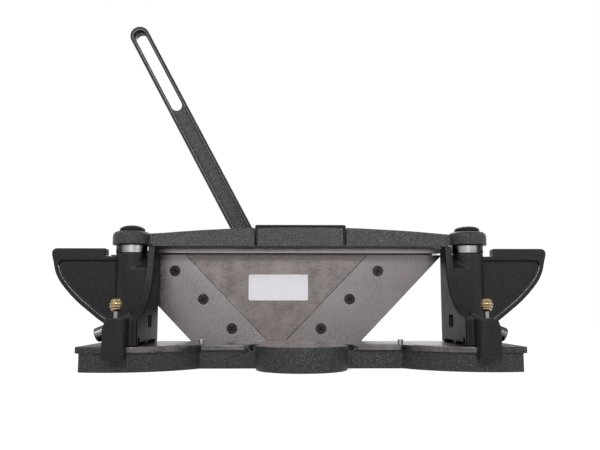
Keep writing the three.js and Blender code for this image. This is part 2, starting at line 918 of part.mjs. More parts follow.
function pivotNutBody() {
  const rear = nutFront + pivotNut.height;
  return cut(
    rod("y", pivotNut.radius, nutFront, rear, [0, 0], 6),
    rod("y", pivotBolt.radius + seatGap, nutFront - overrun, rear + overrun, [0, 0], smallSides),
  );
}

// Fence: one casting of barrel, face arm, foot and wing, about the axis of its post
const armOuter = fence.wall - fence.face;
const armEnd = fence.sweepEnd + 2 * fence.footCorner;
const footTop = fenceBottom + fence.footHeight;

function fenceArm() {
  const armTop = fenceBottom + fence.armHeight;
  const plateTop = fenceBottom + fence.plateHeight;
  const edge = sweep(
    fenceSweepShares,
    [-fence.sweepStart, -fence.sweepEnd],
    [armTop, plateTop],
    16,
  );
  const outline = [
    [fence.rear, fenceBottom],
    [fence.rear, plateTop],
    ...edge,
    [-armEnd, footTop],
    [-armEnd, fenceBottom],
  ];
  const web = [
    [fence.rear, fenceBottom],
    [fence.rear, barrelTop - fence.shoulder],
    [-fence.shoulder, barrelTop - fence.shoulder],
    [-fence.barrelRadius, barrelTop - fence.barrelRadius],
    [-fence.barrelRadius, fenceBottom],
  ];
  return join(prism("yz", outline, -fence.face, armOuter), prism("yz", web, armOuter - overrun, 0));
}

function fenceFoot() {
  const inner = -fence.footInner;
  const outer = fence.footOuter;
  const profile = [
    [inner, fenceBottom],
    [outer, fenceBottom],
    [outer, footTop - fence.footChamferDrop],
    [outer - fence.footChamfer, footTop],
    [inner, footTop],
  ];
  const front = -fence.footEnd;
  const rear = fence.footDepth - fence.footEnd;
  const corner = fence.footCorner;
  const plan = [
    [inner, rear],
    ...arc(inner + corner, front + corner, corner, 180, 270, quarterSteps),
    [outer, front],
    [outer, rear],
  ];
  const hookPlan = plan.map(([x, y]) => [x, Math.min(y, front + fence.hookDepth)]);
  return join(
    common(prism("xz", profile, front, rear), prism("xy", plan, fenceBottom, footTop)),
    prism("xy", hookPlan, fenceBottom - fence.hookDrop, fenceBottom + overrun),
  );
}

function wingEdge() {
  return sweep(wingEdgeShares, [0, wing.span], [wing.top - wing.height, wing.top], 20);
}

// Moves each point of an open line sideways, towards the inside of the wing
function insetLine(points, distance) {
  return points.map((point, i) => {
    const before = points[Math.max(i - 1, 0)];
    const after = points[Math.min(i + 1, points.length - 1)];
    const [da, db] = [after[0] - before[0], after[1] - before[1]];
    const size = Math.hypot(da, db);
    return [point[0] + (distance * db) / size, point[1] - (distance * da) / size];
  });
}

function fenceWing() {
  const corner = wing.cornerRadius;
  const outline = [
    [0, wing.top - wing.height],
    [0, wingNotch.floor],
    [wingNotch.to, wingNotch.floor],
    [wingNotch.to, wing.top],
    ...arc(wing.span - corner, wing.top - corner, corner, 90, 0, quarterSteps),
    ...wingEdge(),
  ];
  const panelTop = wing.top - wingPanel.topRim;
  const inner = wingPanel.innerEdge;
  const line = insetLine(wingEdge(), wingPanel.edgeRim);
  const round = wingPanel.corner;
  const panelEdge = line.filter(([a, b]) => b < panelTop - round && a > inner);
  const bend = arc(panelEdge[0][0] - round, panelTop - round, round, 90, 0, quarterSteps);
  const panel = [[inner, panelTop], ...bend, ...panelEdge];
  panel.push([inner, panelEdge.at(-1)[1]]);
  return cut(
    prism("xz", outline, wing.front, wing.rear),
    prism("xz", panel, wing.front - overrun, wing.front + wingPanel.depth),
  );
}

const lockPoint = [armOuter + lock.seat, -lock.ahead, fenceBottom + lock.height];
const tilted = (geometry) => geometry.rotateY(degToRad(lock.tilt)).translate(...lockPoint);

function fenceLug() {
  const half = lockKnob.radius + overrun;
  const outline = arc(0, 0, half, 0, 360, smallSides).slice(1);
  const depth = armOuter - overrun - lockPoint[0];
  const lug = tilted(prism("yz", outline, depth, -lock.lugBack));
  const bound = block([armOuter - overrun, fence.face], [-fence.footEnd, 0], [fenceBottom, barrelTop]);
  return common(lug, bound);
}

function fenceCutters() {
  const boreRadius = fenceBush.radius + seatGap;
  const neck = fenceBush.radius - fenceBush.step;
  const lower = fenceBottom + fenceBush.length + seatGap;
  const upper = barrelTop - fenceBush.length - seatGap;
  const pinAt = [indexPin.aside, -indexPin.ahead];
  const screwBore = lockScrew.radius + lockScrew.play;
  const relief = armRelief.starts.map((start) =>
    block(
      [-fence.face - overrun, armOuter + overrun],
      [-start - armRelief.length, -start],
      [fenceBottom - overrun, fenceBottom + armRelief.height],
    ),
  );
  return [
    rod("z", boreRadius, fenceBottom - overrun, lower, [0, 0], roundSides),
    rod("z", neck, lower - overrun, upper + overrun, [0, 0], roundSides),
    rod("z", boreRadius, upper, barrelTop + overrun, [0, 0], roundSides),
    rod("z", indexPin.radius + indexBore.play, fenceBottom, footTop + overrun, pinAt, tinySides),
    rod("z", indexBore.radius, fenceBottom - overrun, footTop - indexPin.roof, pinAt, smallSides),
    block(
      [-fence.face - overrun, armOuter + overrun],
      [-armWindow.centre - armWindow.length / 2, -armWindow.centre + armWindow.length / 2],
      [armWindow.bottom, armWindow.bottom + armWindow.height],
    ),
    block(
      [-fence.face - overrun, -fence.footInner],
      [-armNotch.centre - armNotch.width / 2, armNotch.width / 2 - armNotch.centre],
      [fenceBottom - overrun, fenceBottom + armNotch.height],
    ),
    ...relief,
    tilted(rod("x", screwBore, -lockScrew.bite - seatGap, lockKnob.length, [0, 0], tinySides)),
  ];
}

function fenceCasting() {
  const body = join(
    rod("z", fence.barrelRadius, fenceBottom, barrelTop, [0, 0]),
    fenceArm(),
    fenceFoot(),
    fenceWing(),
    fenceLug(),
  );
  return cut(body, ...fenceCutters());
}

function fenceBushBody(low) {
  return cut(
    rod("z", fenceBush.radius, low, low + fenceBush.length, [0, 0], bushSides),
    rod("z", post.radius + seatGap, low - overrun, low + fenceBush.length + overrun, [0, 0], bushSides),
  );
}

// Index pin, drawn about its own axis
const pinTip = base.height - indexPin.tipDepth;
const collarBase = fenceBottom + indexPin.collarLift;
const knobBottom = footTop + pullKnob.rise;
const springBottom = collarBase + indexPin.collarHeight + seatGap;
const springTop = footTop - indexPin.roof - seatGap;

function indexPinBody() {
  return join(
    rod("z", indexPin.radius, pinTip, knobBottom + pullKnob.height / 2, [0, 0], smallSides),
    rod("z", indexPin.collarRadius, collarBase, collarBase + indexPin.collarHeight, [0, 0], smallSides),
  );
}

function pullKnobBody() {
  const pitch = pullKnob.height / (2 * pullKnob.grooves + 1);
  const small = pullKnob.radius - pullKnob.grooveDepth;
  const rows = 2 * pullKnob.grooves + 1;
  const steps = Array.from({ length: rows }, (_, i) => {
    const height = (2 * i + 1) / rows - 1;
    const radius = (i % 2 ? small : pullKnob.radius) * Math.sqrt(1 - pullKnob.roundShare * height ** 2);
    return [
      [radius, knobBottom + i * pitch],
      [radius, knobBottom + (i + 1) * pitch],
    ];
  });
  const top = knobBottom + pullKnob.height;
  return cut(
    turned([[0, knobBottom], ...steps.flat(), [0, top]], smallSides),
    rod(
      "z",
      indexPin.radius + seatGap,
      knobBottom - overrun,
      knobBottom + pullKnob.height / 2 + seatGap,
      [0, 0],
      smallSides,
    ),
  );
}

function springBody() {
  const rise = springTop - springBottom - 2 * spring.wire;
  class Helix extends THREE.Curve {
    getPoint(share, target = new THREE.Vector3()) {
      const angle = share * spring.turns * 2 * Math.PI;
      const z = springBottom + spring.wire + share * rise;
      return target.set(spring.radius * Math.cos(angle), spring.radius * Math.sin(angle), z);
    }
  }
  const section = arc(0, 0, spring.wire, 0, 360, spring.wireSides).slice(1);
  const shape = new THREE.Shape(section.map(([a, b]) => new THREE.Vector2(a, b)));
  const steps = Math.round(spring.turns * spring.turnSteps);
  return new THREE.ExtrudeGeometry(shape, { steps, extrudePath: new Helix() });
}

// Lock screw and knob, drawn along X from the lock point
const knobStart = seatGap - lock.lugBack;

function lockScrewBody() {
  return rod("x", lockScrew.radius, -lockScrew.bite, knobStart + lockKnob.length / 2, [0, 0], smallSides);
}

function lockKnobBody() {
  const outline = Array.from({ length: lockKnob.knurls * 2 }, (_, i) => {
    const angle = (i * Math.PI) / lockKnob.knurls;
    const radius = i % 2 ? lockKnob.radius - lockKnob.knurlDepth : lockKnob.radius;
    return [radius * Math.cos(angle), radius * Math.sin(angle)];
  });
  const neckEnd = knobStart + lockKnob.neck;
  return cut(
    join(
      rod("x", lockKnob.neckRadius, knobStart, neckEnd + overrun, [0, 0], smallSides),
      prism("yz", outline, neckEnd, knobStart + lockKnob.length),
    ),
    rod(
      "x",
      lockScrew.radius + seatGap,
      knobStart - overrun,
      knobStart + lockKnob.length / 2 + seatGap,
      [0, 0],
      smallSides,
    ),
  );
}

// The pieces on one side, with the side's own hand: -1 is the left and 1 the right
function handed(side) {
  const hand = side < 0 ? "left" : "right";
  const flip = (shape) => (side < 0 ? mirrored(solid(shape)) : solid(shape));
  const place = (x, y, z) => [side * x, y, z];
  return { hand, flip, place };
}

function fenceGroup(side) {
  const { hand, flip, place } = handed(side);
  const named = (name, shape, look) => piece(hand + "_" + name, flip(shape), look);
  const plunger = group(
    place(indexPin.aside, -indexPin.ahead, 0),
    0,
    named("index_pin", indexPinBody(), machinedSteel),
    named("pull_knob", pullKnobBody(), brass),
    named("index_spring", springBody(), springSteel),
  );
  const lockGroup = group(
    place(...lockPoint),
    side * degToRad(lock.tilt),
    named("lock_screw", lockScrewBody(), machinedSteel),
    named("lock_knob", lockKnobBody(), machinedSteel),
  );
  return group(
    place(post.aside, -post.ahead, 0),
    0,
    named("fence", fenceCasting(), satinBlack),
    named("fence_lower_bush", fenceBushBody(fenceBottom), bronze),
    named("fence_upper_bush", fenceBushBody(barrelTop - fenceBush.length), bronze),
    plunger,
    lockGroup,
  );
}

function postGroup(side) {
  const { hand, flip, place } = handed(side);
  const named = (name, shape, look) => piece(hand + "_" + name, flip(shape), look);
  return group(
    place(post.aside, -post.ahead, 0),
    0,
    named("post", postBody(), machinedSteel),
    named("post_collar", collarBody(), machinedSteel),
    named("dome_bolt", domeBolt(), blackOxide),
  );
}

function sideFittings(side) {
  const { hand, flip, place } = handed(side);
  const named = (name, shape, look) => piece(hand + "_" + name, flip(shape), look);
  const pin = named("table_pin", tablePinBody(), machinedSteel);
  pin.position.set(...place(tablePin.aside, -tablePin.ahead, 0));
  return [
    pin,
    named("way_screw", wayScrewBody(), blackOxide),
    named("rail_screw", railScrewBody(), blackOxide),
  ];
}

function knifeSet(side) {
  const { hand, flip, place } = handed(side);
  const rows = ["top", "middle", "bottom"];
  const screws = screwPlaces.map(([x, z], i) => {
    const screw = piece(`${hand}_knife_screw_${rows[i]}`, flip(knifeScrewBody()), blackOxide);
    screw.position.set(...place(x, 0, z));
    return screw;
  });
  return [piece(hand + "_knife", flip(knifeBody()), groundSteel), ...screws];
}

const drivenRoller = piece("drive_roller", rollerBody(), machinedSteel);
drivenRoller.position.set(0, 0, rollerHeight);

const carriage = group(
  [carriageShift, 0, 0],
  0,
  piece("carriage_plate", carriagePlate(), groundSteel),
  piece("label_plate", labelPlate(), plainWhite),
  piece("drive_pin", drivePinBody(), machinedSteel),
  drivenRoller,
  ...knifeSet(-1),
  ...knifeSet(1),
);

const leverArm = group(
  [0, leverMiddle, lever.pivotHeight],
  degToRad(drive.pictured),
  piece("lever", leverCasting(), satinBlack),
  piece("lever_bush", leverBush(), bronze),
);

const pivot = group(
  [0, 0, lever.pivotHeight],
  0,
  piece("lever_pivot_bolt", pivotBoltBody(), blackOxide),
  piece("lever_pivot_washer", pivotWasher(), machinedSteel),
  piece("lever_pivot_nut", pivotNutBody(), blackOxide),
);

const machine = group(
  [0, 0, 0],
  0,
  piece("base_casting", baseCasting(), hammered),
  piece("lower_way", lowerWay(), machinedSteel),
  piece("bridge", bridgeCasting(), hammered),
  piece("bridge_cover", bridgeCover(), satinBlack),
  piece("upper_rail", upperRail(), machinedSteel),
  ...sideFittings(-1),
  ...sideFittings(1),
  postGroup(-1),
  postGroup(1),
  fenceGroup(-1),
  fenceGroup(1),
  pivot,
  carriage,
  leverArm,
);

export default machine;
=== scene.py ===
import json
from math import atan2, cos, hypot, pi, radians, sin, sqrt

import bmesh
import bpy
from mathutils import Matrix, Vector


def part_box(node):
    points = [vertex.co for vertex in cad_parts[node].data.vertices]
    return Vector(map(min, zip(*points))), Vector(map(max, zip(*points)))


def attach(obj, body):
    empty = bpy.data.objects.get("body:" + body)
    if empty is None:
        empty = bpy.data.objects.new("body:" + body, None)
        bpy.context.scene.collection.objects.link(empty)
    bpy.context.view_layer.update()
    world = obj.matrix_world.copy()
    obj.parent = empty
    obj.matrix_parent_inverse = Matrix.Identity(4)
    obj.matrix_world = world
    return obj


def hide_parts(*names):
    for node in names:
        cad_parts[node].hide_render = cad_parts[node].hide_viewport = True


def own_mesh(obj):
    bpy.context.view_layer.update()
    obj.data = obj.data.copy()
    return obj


# The machine as it was packed: its bodies and nodes, at rest.
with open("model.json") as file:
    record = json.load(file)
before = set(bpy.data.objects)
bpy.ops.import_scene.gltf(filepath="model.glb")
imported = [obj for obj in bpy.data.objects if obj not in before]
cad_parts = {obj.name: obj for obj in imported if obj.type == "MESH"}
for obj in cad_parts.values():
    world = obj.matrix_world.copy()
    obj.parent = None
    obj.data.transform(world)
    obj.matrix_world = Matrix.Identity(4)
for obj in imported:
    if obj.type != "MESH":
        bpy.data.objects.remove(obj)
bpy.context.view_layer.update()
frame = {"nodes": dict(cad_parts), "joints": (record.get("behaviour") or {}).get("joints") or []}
nodes = frame["nodes"]
hands = {"left": -1, "right": 1}

# Camera: it stands low in front of the machine, a little left of its middle, and looks
# slightly up, so that the table is seen almost edge on.
camera_lens = 41.6
camera_sensor = 36
camera_place = (-0.0145, -0.804, 0.06)
camera_tilt = 96.95
camera_turn = -1.04


def placed(name, data):
    """A new object in the scene, unturned at the origin."""
    thing = bpy.data.objects.new(name, data)
    bpy.context.scene.collection.objects.link(thing)
    return thing


camera_data = bpy.data.cameras.new("camera")
camera_data.lens = camera_lens
camera_data.sensor_width = camera_sensor
camera = placed("camera", camera_data)
camera.location = camera_place
camera.rotation_euler = (radians(camera_tilt), 0, radians(camera_turn))
bpy.context.scene.camera = camera

# Base casting: grey iron, poured in sand, then milled on its table and along the
# rim of the table. Everything else is sprayed with a black-grey hammered paint.
base_edge = 0.0009
base_bright_from = 0.053
base_bright_to = 0.181
table_level = 0.0244
rim_height = 0.0063
rim_front = -0.05
rim_rearward = 0.3
rim_downward = -0.1
squarely = 0.9
same_level = 0.0003
hammered_dark = (0.011, 0.011, 0.0117, 1)
hammered_light = (0.135, 0.135, 0.14, 1)
shaded_hammered_dark = (0.01, 0.01, 0.0098, 1)
milled_dark = (0.035, 0.032, 0.0315, 1)
milled_light = (0.19, 0.18, 0.178, 1)
milled_lines = (60, 500, 500)


def add(tree, kind, values=None, **settings):
    """A shader node of a kind, with the values of its inputs and its own settings."""
    node = tree.nodes.new("ShaderNode" + kind)
    for key, value in settings.items():
        setattr(node, key, value)
    for socket, value in (values or {}).items():
        node.inputs[socket].default_value = value
    return node


def wire(tree, *pairs):
    """Links each output to its input."""
    for source, target in pairs:
        tree.links.new(source, target)


def new_group(name, inputs, outputs):
    """An effect that several materials share, with its named inputs and outputs."""
    tree = bpy.data.node_groups.new(name, "ShaderNodeTree")
    for label, kind, value in inputs:
        socket = tree.interface.new_socket(label, in_out="INPUT", socket_type="NodeSocket" + kind)
        if value is not None:
            socket.default_value = value
    for label, kind in outputs:
        tree.interface.new_socket(label, in_out="OUTPUT", socket_type="NodeSocket" + kind)
    given = tree.nodes.new("NodeGroupInput").outputs
    result = tree.nodes.new("NodeGroupOutput").inputs
    return tree, given, result


def use_group(tree, group, **values):
    """A shared effect, placed in a material with values of its own."""
    node = tree.nodes.new("ShaderNodeGroup")
    node.node_tree = group
    for label, value in values.items():
        node.inputs[label].default_value = value
    return node


def new_material(name, metallic, specular=0.5):
    """A material with its tree and its shader."""
    material = bpy.data.materials.new(name)
    material.use_nodes = True
    shader = material.node_tree.nodes["Principled BSDF"]
    shader.inputs["Metallic"].default_value = metallic
    shader.inputs["Specular IOR Level"].default_value = specular
    return material, material.node_tree, shader


def relief(tree, shader, height, depth):
    """Raises the surface by a height map, at most by a depth."""
    bump = add(tree, "Bump", {"Strength": 1.0, "Distance": depth})
    wire(tree, (height, bump.inputs["Height"]), (bump.outputs[0], shader.inputs["Normal"]))


# Paint that has drawn together into small beads while it dried. The beads' crests are painted lighter, partly
# as the paint's own speckle and partly as painted glints where light catches them
beads, given, result = new_group(
    "paint_beads",
    [
        ("Beads", "Float", 700.0),
        ("Dark", "Color", hammered_dark),
        ("Light", "Color", hammered_light),
        ("Flecks", "Float", 0.5),
    ],
    [("Color", "Color"), ("Roughness", "Float"), ("Height", "Float")],
)
place = add(beads, "TexCoord").outputs["Object"]
cells = add(beads, "TexNoise", {"Detail": 1.5, "Roughness": 0.6})
crest_glints = add(beads, "MapRange", {"From Min": 0.5, "From Max": 0.68})
patches = add(beads, "TexNoise", {"Scale": 28.0, "Detail": 4.0})
patch_range = add(beads, "MapRange", {"To Min": 0.7, "To Max": 1.3})
amount = add(beads, "Math", operation="MULTIPLY")
patched = add(beads, "Math", operation="MULTIPLY", use_clamp=True)
colour = add(beads, "Mix", data_type="RGBA")
rough = add(beads, "MapRange", {"To Min": 0.3, "To Max": 0.5})
wire(
    beads,
    (place, cells.inputs["Vector"]),
    (given["Beads"], cells.inputs["Scale"]),
    (cells.outputs[0], crest_glints.inputs["Value"]),
    (place, patches.inputs["Vector"]),
    (patches.outputs[0], patch_range.inputs["Value"]),
    (crest_glints.outputs[0], amount.inputs[0]),
    (given["Flecks"], amount.inputs[1]),
    (amount.outputs[0], patched.inputs[0]),
    (patch_range.outputs[0], patched.inputs[1]),
    (patched.outputs[0], colour.inputs["Factor"]),
    (given["Dark"], colour.inputs["A"]),
    (given["Light"], colour.inputs["B"]),
    (patches.outputs[0], rough.inputs["Value"]),
    (colour.outputs["Result"], result["Color"]),
    (rough.outputs[0], result["Roughness"]),
    (cells.outputs[0], result["Height"]),
)

# Marks that a cutter or a grinding wheel leaves: fine lines in one direction, and cloudiness
marks, given, result = new_group(
    "tool_marks",
    [
        ("Vector", "Vector", None),
        ("Dark", "Color", milled_dark),
        ("Light", "Color", milled_light),
        ("Clouds", "Float", 14.0),
    ],
    [("Color", "Color"), ("Roughness", "Float"), ("Height", "Float")],
)
place = add(marks, "TexCoord").outputs["Object"]
lines = add(marks, "TexNoise", {"Scale": 1.0, "Detail": 5.0, "Roughness": 0.65})
clouds = add(marks, "TexNoise", {"Detail": 5.0, "Roughness": 0.6})
line_range = add(marks, "MapRange", {"From Min": 0.3, "From Max": 0.7})
cloud_range = add(marks, "MapRange", {"From Min": 0.3, "From Max": 0.7})
blended = add(marks, "Mix", {"Factor": 0.55}, data_type="FLOAT")
colour = add(marks, "Mix", data_type="RGBA")
rough = add(marks, "MapRange", {"To Min": 0.2, "To Max": 0.42})
wire(
    marks,
    (given["Vector"], lines.inputs["Vector"]),
    (place, clouds.inputs["Vector"]),
    (given["Clouds"], clouds.inputs["Scale"]),
    (lines.outputs[0], line_range.inputs["Value"]),
    (clouds.outputs[0], cloud_range.inputs["Value"]),
    (line_range.outputs[0], blended.inputs["A"]),
    (cloud_range.outputs[0], blended.inputs["B"]),
    (blended.outputs["Result"], colour.inputs["Factor"]),
    (given["Dark"], colour.inputs["A"]),
    (given["Light"], colour.inputs["B"]),
    (blended.outputs["Result"], rough.inputs["Value"]),
    (colour.outputs["Result"], result["Color"]),
    (rough.outputs[0], result["Roughness"]),
    (line_range.outputs[0], result["Height"]),
)


def painted(name, dark, light, bead_scale, flecks, depth, specular):
    """A paint, from glossy with large beads to dull and nearly smooth."""
    material, tree, shader = new_material(name, 0.0, specular)
    paint = use_group(tree, beads, Beads=bead_scale, Dark=dark, Light=light, Flecks=flecks)
    wire(
        tree,
        (paint.outputs["Color"], shader.inputs["Base Color"]),
        (paint.outputs["Roughness"], shader.inputs["Roughness"]),
    )
    relief(tree, shader, paint.outputs["Height"], depth)
    return material


def marked(tree, dark, light, line_scale, cloud_scale, turn=(0, 0, 0)):
    """Tool marks, in lines that are close where the scale is large."""
    where = add(tree, "TexCoord")
    mapping = add(tree, "Mapping", {"Scale": line_scale, "Rotation": turn})
    metal = use_group(tree, marks, Dark=dark, Light=light, Clouds=cloud_scale)
    wire(
        tree,
        (where.outputs["Object"], mapping.inputs["Vector"]),
        (mapping.outputs[0], metal.inputs["Vector"]),
    )
    return metal


def machined(name, dark, light, line_scale, cloud_scale, depth, turn=(0, 0, 0)):
    """A bare or blackened metal that shows how it was cut or ground."""
    material, tree, shader = new_material(name, 1.0)
    metal = marked(tree, dark, light, line_scale, cloud_scale, turn)
    wire(
        tree,
        (metal.outputs["Color"], shader.inputs["Base Color"]),
        (metal.outputs["Roughness"], shader.inputs["Roughness"]),
    )
    relief(tree, shader, metal.outputs["Height"], depth)
    return material


def finished(node, mesh, materials, body, crease=40):
    """A new piece from a finished mesh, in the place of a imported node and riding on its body."""
    name = f"{node}_finished"
    data = bpy.data.meshes.new(name)
    for face in mesh.faces:
        face.smooth = True
    mesh.to_mesh(data)
    mesh.free()
    data.set_sharp_from_angle(angle=radians(crease))
    for material in materials:
        data.materials.append(material)
    piece = placed(name, data)
    normals = piece.modifiers.new("weighted_normals", "WEIGHTED_NORMAL")
    normals.keep_sharp = True
    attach(piece, body)
    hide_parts(node)
    return piece


def solid_copy(node, weld=0.00001, flat_within=1):
    """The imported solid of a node, as one closed mesh without the lines across its flat faces."""
    mesh = bmesh.new()
    mesh.from_mesh(nodes[node].data)
    bmesh.ops.remove_doubles(mesh, verts=mesh.verts, dist=weld)
    bmesh.ops.dissolve_limit(mesh, angle_limit=radians(flat_within), verts=mesh.verts, edges=mesh.edges)
    return mesh


def eased(mesh, width, steps=2, angle=32, left_out=()):
    """Rounds the sharp edges of a mesh, as casting and a file leave them."""
    sharp = [
        e
        for e in mesh.edges
        if len(e.link_faces) == 2
        and e.calc_face_angle(0) > radians(angle)
        and e.calc_length() > width
        and e not in left_out
    ]
    bmesh.ops.bevel(
        mesh,
        geom=sharp,
        offset=width,
        offset_type="OFFSET",
        affect="EDGES",
        segments=steps,
        profile=0.5,
        clamp_overlap=False,
        material=-1,
    )
    return mesh


def scored(mesh, point, direction):
    """Draws a line round a mesh where a plane meets it, and takes nothing away."""
    bmesh.ops.bisect_plane(
        mesh,
        geom=mesh.verts[:] + mesh.edges[:] + mesh.faces[:],
        plane_co=point,
        plane_no=direction,
    )


# Two copies of the one hammered paint: the lit one, with more painted glints, for the bridge's beam, and a
# darker one with fewer, as painted shade, for the base and the bridge's bosses
hammered_paint = painted(
    "hammered_paint", hammered_dark, hammered_light, bead_scale=950.0, flecks=0.7, depth=0.0008, specular=0.45
)
shaded_hammered_paint = painted(
    "shaded_hammered_paint", shaded_hammered_dark, hammered_light, bead_scale=900.0, flecks=0.42, depth=0.0005, specular=0.32
)
milled_iron = machined(
    "milled_iron", milled_dark, milled_light, milled_lines, cloud_scale=55.0, depth=0.00001
)
base = solid_copy("base_casting")
for side in hands.values():
    for distance in (base_bright_from, base_bright_to):
        scored(base, (side * distance, 0, 0), (1, 0, 0))
eased(base, base_edge)
for face in base.faces:
    centre = face.calc_center_median()
    on_table = (
        face.normal.z > squarely
        and abs(centre.z - table_level) < same_level
        and abs(centre.x) < base_bright_to
    )
    on_rim = (
        base_bright_from < abs(centre.x) < base_bright_to
        and centre.z > table_level - rim_height + base_edge
        and centre.y < rim_front
        and face.normal.y < rim_rearward
        and face.normal.z > rim_downward
    )
    face.material_index = int(on_table or on_rim)
# The base's painted faces take the darker copy of the hammered paint: painted shade
finished("base_casting", base, [shaded_hammered_paint, milled_iron], "frame")

# Lower way: a milled steel strip, screwed down behind the table, in whose groove the
# carriage's tongue slides. It shines where the tongue has polished it.
way_edge = 0.0003
steel_dark = (0.3, 0.29, 0.28, 1)
steel_light = (0.55, 0.54, 0.53, 1)
oxide_dark = (0.02, 0.017, 0.017, 1)
oxide_light = (0.05, 0.044, 0.043, 1)
drawn_lines = (40, 700, 700)
oxide_grain = (300, 300, 300)


def eased_piece(node, edge, material, body, steps=2):
    """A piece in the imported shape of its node, with its sharp edges rounded."""
    return finished(node, eased(solid_copy(node), edge, steps), [material], body)


def coated(node, material):
    """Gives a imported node, whose shape stays, its finish."""
    nodes[node].material_slots[0].material = material


machined_steel = machined(
    "machined_steel", steel_dark, steel_light, drawn_lines, cloud_scale=20.0, depth=0.000008
)
black_oxide = machined(
    "black_oxide", oxide_dark, oxide_light, oxide_grain, cloud_scale=60.0, depth=0.00001
)
eased_piece("lower_way", way_edge, machined_steel, "frame")
for hand in hands:
    coated(f"{hand}_way_screw", black_oxide)
    coated(f"{hand}_rail_screw", black_oxide)

# Table pins: short turned stops of steel, pressed into holes in the milled table, one
# toward each side. Their ends are rounded.
table_pin_edge = 0.0005
for hand in hands:
    eased_piece(f"{hand}_table_pin", table_pin_edge, machined_steel, "frame", steps=3)

# Posts and collars: ground steel bars pressed into the base, each with a turned and
# polished collar on which the bridge sits. Only the collars show.
collar_edge = 0.0006
collar_dark = (0.3, 0.3, 0.295, 1)
collar_light = (0.6, 0.6, 0.59, 1)
polished_dark = (0.16, 0.157, 0.155, 1)
polished_light = (0.36, 0.355, 0.35, 1)
turned_lines = (60, 60, 1600)
turned_depth = 0.000006
polished_steel = machined(
    "polished_steel", polished_dark, polished_light, turned_lines, cloud_scale=30.0, depth=turned_depth
)
collar_steel, tree, shader = new_material("collar_steel", 1.0)
turned = marked(tree, collar_dark, collar_light, turned_lines, cloud_scale=30.0)
# The turned steel is painted lighter where the collar faces the camera and darker toward its flanks: a
# painted highlight down the middle and painted shade at the sides
flank = add(tree, "LayerWeight", {"Blend": 0.5})
painted_sheen_and_shade = add(tree, "MapRange", {"From Min": 0.0, "From Max": 0.28, "To Min": 0.78, "To Max": 0.05})
toned = add(tree, "VectorMath", operation="SCALE")
wire(
    tree,
    (flank.outputs["Facing"], painted_sheen_and_shade.inputs["Value"]),
    (turned.outputs["Color"], toned.inputs[0]),
    (painted_sheen_and_shade.outputs[0], toned.inputs["Scale"]),
    (toned.outputs[0], shader.inputs["Base Color"]),
    (turned.outputs["Roughness"], shader.inputs["Roughness"]),
)
relief(tree, shader, turned.outputs["Height"], turned_depth)
for hand in hands:
    coated(f"{hand}_post", polished_steel)
    eased_piece(f"{hand}_post_collar", collar_edge, collar_steel, "frame", steps=3)

# Dome bolts: turned steel with a black finish. The head is a low dome with a small flat
# sunk in its top, and it pulls the bridge down on the post.
dome_steps = 9
dome_sweep = 76
dome_rim = 0.0018
dome_chamfer = 0.0004
dome_recess_radius = 0.0033
dome_recess_depth = 0.0012
dome_recess_taper = 0.0003
dome_recess_lip = 0.0001
dome_shank_radius = 0.005
dome_shank_length = 0.02
dome_dark = (0.003, 0.003, 0.0032, 1)
dome_light = (0.01, 0.01, 0.0104, 1)


def upright_axis(low, high):
    """The place, from above, of the upright axis through a box."""
    return (low.x + high.x) / 2, (low.y + high.y) / 2


def lathe(profile, centre, steps=48, weld=0.000002):
    """Spins a profile of radius and height about the vertical through a centre."""
    mesh = bmesh.new()
    verts = [mesh.verts.new((centre[0] + radius, centre[1], z)) for radius, z in profile]
    edges = [mesh.edges.new(pair) for pair in zip(verts, verts[1:])]
    bmesh.ops.spin(
        mesh,
        geom=verts + edges,
        cent=(*centre, 0),
        axis=(0, 0, 1),
        angle=2 * pi,
        steps=steps,
        use_merge=True,
        use_duplicate=False,
    )
    bmesh.ops.remove_doubles(mesh, verts=mesh.verts, dist=weld)
    bmesh.ops.recalc_face_normals(mesh, faces=mesh.faces)
    return mesh


dome_paint = painted(
    "dome_paint", dome_dark, dome_light, bead_scale=900.0, flecks=0.5, depth=0.0001, specular=0.12
)
for hand in hands:
    low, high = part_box(f"{hand}_dome_bolt")
    radius = (high.x - low.x) / 2
    seat = low.z + dome_shank_length
    crown = high.z - seat - dome_rim
    arch = [
        (radius * cos(t), seat + dome_rim + crown * sin(t))
        for t in (i / dome_steps * radians(dome_sweep) for i in range(dome_steps + 1))
    ]
    profile = [
        (0, low.z),
        (dome_shank_radius, low.z),
        (dome_shank_radius, seat),
        (radius - dome_chamfer, seat),
        (radius, seat + dome_chamfer),
        *arch,
        (dome_recess_radius, high.z - dome_recess_lip),
        (dome_recess_radius - dome_recess_taper, high.z - dome_recess_depth),
        (0, high.z - dome_recess_depth),
    ]
    bolt = lathe(profile, upright_axis(low, high))
    finished(f"{hand}_dome_bolt", bolt, [dome_paint], "frame")

# Bridge: an iron casting with a cambered beam and a round boss at each end, in the same
# hammered paint as the base. A folded strip in satin black covers its middle, and a
# bright steel rail under it guides the carriage.
bridge_edge = 0.0007
boss_from = 0.166
cover_edge = 0.0003
rail_edge = 0.0004
satin_dark = (0.0045, 0.0047, 0.005, 1)
satin_light = (0.06, 0.06, 0.061, 1)
satin_paint = painted(
    "satin_paint", satin_dark, satin_light, bead_scale=800.0, flecks=0.25, depth=0.0003, specular=0.22
)
bridge = eased(solid_copy("bridge"), bridge_edge, steps=3)
# The bosses take the darker copy of the hammered paint: painted shade
for face in bridge.faces:
    face.material_index = int(abs(face.calc_center_median().x) > boss_from)
finished("bridge", bridge, [hammered_paint, shaded_hammered_paint], "frame")
eased_piece("bridge_cover", cover_edge, satin_paint, "frame", steps=1)
eased_piece("upper_rail", rail_edge, machined_steel, "frame")

